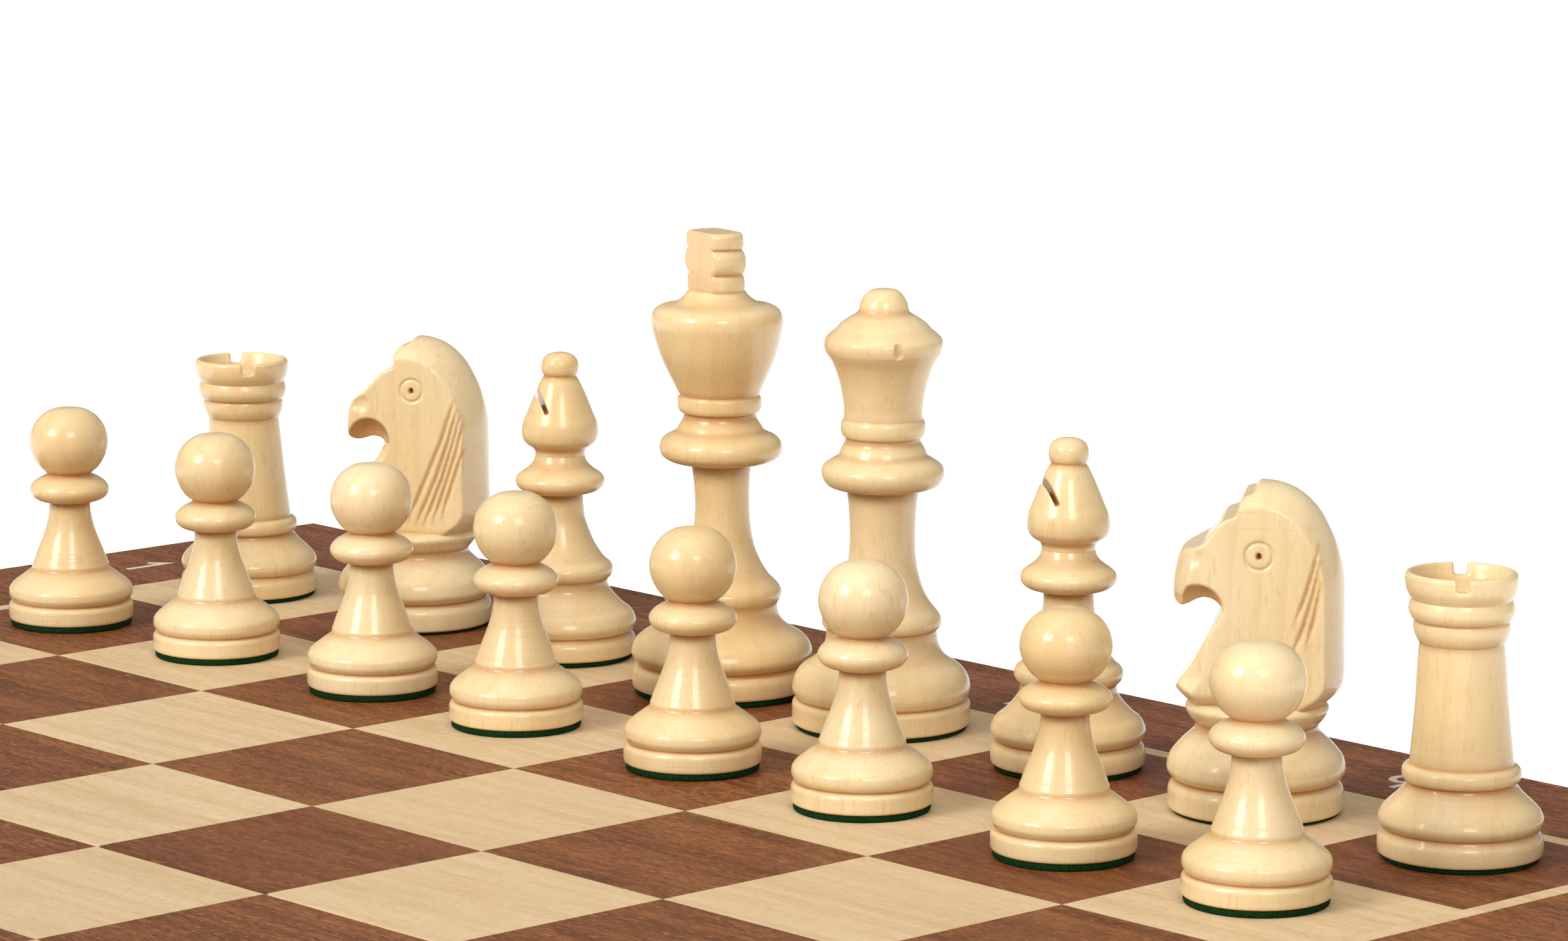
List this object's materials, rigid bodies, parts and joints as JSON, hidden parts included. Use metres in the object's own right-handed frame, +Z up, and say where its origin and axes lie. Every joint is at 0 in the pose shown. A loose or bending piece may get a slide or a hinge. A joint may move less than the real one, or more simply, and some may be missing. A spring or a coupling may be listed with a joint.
{
  "type": "chess set with board",
  "caption": "Folding wooden chess case whose inlaid top is the board, with hinges, closing hooks, and both sets of turned chessmen standing on their squares",
  "frame": {"origin": "Centre of the open board, at the level of the surface that it stands on (the lowest line of the hinge knuckles)", "axes": "+X runs from the a-file to the h-file, +Y from White's side to Black's side, +Z is up"},
  "size_m": [0.386, 0.3908, 0.1042],
  "materials": {
    "plywood": "plain birch plywood",
    "frame_wood": "mahogany-stained, lacquered",
    "dark_veneer": "mahogany veneer, satin lacquer",
    "light_veneer": "maple veneer, satin lacquer",
    "coordinate_inlay": "pale inlay under lacquer",
    "felt": "green felt",
    "brass": "bright brass",
    "light_man": "pale hardwood, gloss lacquer, green felt under the foot",
    "dark_man": "dark-stained hardwood, gloss lacquer, green felt under the foot"
  },
  "bodies": {
    "white_half": {"panel_white": "plywood", "rails_white": "frame_wood", "dark_squares_white": "dark_veneer", "light_squares_white": "light_veneer", "stringing_white": "light_veneer", "border_white": "dark_veneer", "coordinates_white": "coordinate_inlay", "lining_white": "felt", "hinge_leaves_white": "brass", "hinge_screws_white": "brass", "hinge_pins": "brass", "catch_studs": "brass"},
    "black_half": {"panel_black": "plywood", "rails_black": "frame_wood", "dark_squares_black": "dark_veneer", "light_squares_black": "light_veneer", "stringing_black": "light_veneer", "border_black": "dark_veneer", "coordinates_black": "coordinate_inlay", "lining_black": "felt", "hinge_leaves_black": "brass", "hinge_screws_black": "brass", "hook_screws": "brass"},
    "hook_left": {"hook_left": "brass"},
    "hook_right": {"hook_right": "brass"},
    "white_rook_a": {"white_rook_a": "light_man"},
    "white_knight_b": {"white_knight_b": "light_man"},
    "white_bishop_c": {"white_bishop_c": "light_man"},
    "white_queen_d": {"white_queen_d": "light_man"},
    "white_king_e": {"white_king_e": "light_man"},
    "white_bishop_f": {"white_bishop_f": "light_man"},
    "white_knight_g": {"white_knight_g": "light_man"},
    "white_rook_h": {"white_rook_h": "light_man"},
    "white_pawn_a": {"white_pawn_a": "light_man"},
    "white_pawn_b": {"white_pawn_b": "light_man"},
    "white_pawn_c": {"white_pawn_c": "light_man"},
    "white_pawn_d": {"white_pawn_d": "light_man"},
    "white_pawn_e": {"white_pawn_e": "light_man"},
    "white_pawn_f": {"white_pawn_f": "light_man"},
    "white_pawn_g": {"white_pawn_g": "light_man"},
    "white_pawn_h": {"white_pawn_h": "light_man"},
    "black_rook_a": {"black_rook_a": "dark_man"},
    "black_knight_b": {"black_knight_b": "dark_man"},
    "black_bishop_c": {"black_bishop_c": "dark_man"},
    "black_queen_d": {"black_queen_d": "dark_man"},
    "black_king_e": {"black_king_e": "dark_man"},
    "black_bishop_f": {"black_bishop_f": "dark_man"},
    "black_knight_g": {"black_knight_g": "dark_man"},
    "black_rook_h": {"black_rook_h": "dark_man"},
    "black_pawn_a": {"black_pawn_a": "dark_man"},
    "black_pawn_b": {"black_pawn_b": "dark_man"},
    "black_pawn_c": {"black_pawn_c": "dark_man"},
    "black_pawn_d": {"black_pawn_d": "dark_man"},
    "black_pawn_e": {"black_pawn_e": "dark_man"},
    "black_pawn_f": {"black_pawn_f": "dark_man"},
    "black_pawn_g": {"black_pawn_g": "dark_man"},
    "black_pawn_h": {"black_pawn_h": "dark_man"}
  },
  "joints": [
    {"name": "board_fold", "type": "hinge", "parent": "white_half", "child": "black_half", "pos_m": [0, 0, 0.0013], "axis": [-1, 0, 0], "range_deg": [0, 180]},
    {"name": "hook_left_swing", "type": "hinge", "parent": "black_half", "child": "hook_left", "pos_m": [-0.1, 0.1936, 0.0104], "axis": [0, 1, 0], "range_deg": [0, 90]},
    {"name": "hook_right_swing", "type": "hinge", "parent": "black_half", "child": "hook_right", "pos_m": [0.1, 0.1936, 0.0104], "axis": [0, -1, 0], "range_deg": [0, 90]},
    {"name": "lift_white_rook_a", "type": "slide", "parent": "white_half", "child": "white_rook_a", "axis": [0, 0, 1], "range_m": [0, 0.1]},
    {"name": "lift_white_knight_b", "type": "slide", "parent": "white_half", "child": "white_knight_b", "axis": [0, 0, 1], "range_m": [0, 0.1]},
    {"name": "lift_white_bishop_c", "type": "slide", "parent": "white_half", "child": "white_bishop_c", "axis": [0, 0, 1], "range_m": [0, 0.1]},
    {"name": "lift_white_queen_d", "type": "slide", "parent": "white_half", "child": "white_queen_d", "axis": [0, 0, 1], "range_m": [0, 0.1]},
    {"name": "lift_white_king_e", "type": "slide", "parent": "white_half", "child": "white_king_e", "axis": [0, 0, 1], "range_m": [0, 0.1]},
    {"name": "lift_white_bishop_f", "type": "slide", "parent": "white_half", "child": "white_bishop_f", "axis": [0, 0, 1], "range_m": [0, 0.1]},
    {"name": "lift_white_knight_g", "type": "slide", "parent": "white_half", "child": "white_knight_g", "axis": [0, 0, 1], "range_m": [0, 0.1]},
    {"name": "lift_white_rook_h", "type": "slide", "parent": "white_half", "child": "white_rook_h", "axis": [0, 0, 1], "range_m": [0, 0.1]},
    {"name": "lift_white_pawn_a", "type": "slide", "parent": "white_half", "child": "white_pawn_a", "axis": [0, 0, 1], "range_m": [0, 0.1]},
    {"name": "lift_white_pawn_b", "type": "slide", "parent": "white_half", "child": "white_pawn_b", "axis": [0, 0, 1], "range_m": [0, 0.1]},
    {"name": "lift_white_pawn_c", "type": "slide", "parent": "white_half", "child": "white_pawn_c", "axis": [0, 0, 1], "range_m": [0, 0.1]},
    {"name": "lift_white_pawn_d", "type": "slide", "parent": "white_half", "child": "white_pawn_d", "axis": [0, 0, 1], "range_m": [0, 0.1]},
    {"name": "lift_white_pawn_e", "type": "slide", "parent": "white_half", "child": "white_pawn_e", "axis": [0, 0, 1], "range_m": [0, 0.1]},
    {"name": "lift_white_pawn_f", "type": "slide", "parent": "white_half", "child": "white_pawn_f", "axis": [0, 0, 1], "range_m": [0, 0.1]},
    {"name": "lift_white_pawn_g", "type": "slide", "parent": "white_half", "child": "white_pawn_g", "axis": [0, 0, 1], "range_m": [0, 0.1]},
    {"name": "lift_white_pawn_h", "type": "slide", "parent": "white_half", "child": "white_pawn_h", "axis": [0, 0, 1], "range_m": [0, 0.1]},
    {"name": "lift_black_rook_a", "type": "slide", "parent": "black_half", "child": "black_rook_a", "axis": [0, 0, 1], "range_m": [0, 0.1]},
    {"name": "lift_black_knight_b", "type": "slide", "parent": "black_half", "child": "black_knight_b", "axis": [0, 0, 1], "range_m": [0, 0.1]},
    {"name": "lift_black_bishop_c", "type": "slide", "parent": "black_half", "child": "black_bishop_c", "axis": [0, 0, 1], "range_m": [0, 0.1]},
    {"name": "lift_black_queen_d", "type": "slide", "parent": "black_half", "child": "black_queen_d", "axis": [0, 0, 1], "range_m": [0, 0.1]},
    {"name": "lift_black_king_e", "type": "slide", "parent": "black_half", "child": "black_king_e", "axis": [0, 0, 1], "range_m": [0, 0.1]},
    {"name": "lift_black_bishop_f", "type": "slide", "parent": "black_half", "child": "black_bishop_f", "axis": [0, 0, 1], "range_m": [0, 0.1]},
    {"name": "lift_black_knight_g", "type": "slide", "parent": "black_half", "child": "black_knight_g", "axis": [0, 0, 1], "range_m": [0, 0.1]},
    {"name": "lift_black_rook_h", "type": "slide", "parent": "black_half", "child": "black_rook_h", "axis": [0, 0, 1], "range_m": [0, 0.1]},
    {"name": "lift_black_pawn_a", "type": "slide", "parent": "black_half", "child": "black_pawn_a", "axis": [0, 0, 1], "range_m": [0, 0.1]},
    {"name": "lift_black_pawn_b", "type": "slide", "parent": "black_half", "child": "black_pawn_b", "axis": [0, 0, 1], "range_m": [0, 0.1]},
    {"name": "lift_black_pawn_c", "type": "slide", "parent": "black_half", "child": "black_pawn_c", "axis": [0, 0, 1], "range_m": [0, 0.1]},
    {"name": "lift_black_pawn_d", "type": "slide", "parent": "black_half", "child": "black_pawn_d", "axis": [0, 0, 1], "range_m": [0, 0.1]},
    {"name": "lift_black_pawn_e", "type": "slide", "parent": "black_half", "child": "black_pawn_e", "axis": [0, 0, 1], "range_m": [0, 0.1]},
    {"name": "lift_black_pawn_f", "type": "slide", "parent": "black_half", "child": "black_pawn_f", "axis": [0, 0, 1], "range_m": [0, 0.1]},
    {"name": "lift_black_pawn_g", "type": "slide", "parent": "black_half", "child": "black_pawn_g", "axis": [0, 0, 1], "range_m": [0, 0.1]},
    {"name": "lift_black_pawn_h", "type": "slide", "parent": "black_half", "child": "black_pawn_h", "axis": [0, 0, 1], "range_m": [0, 0.1]}
  ]
}
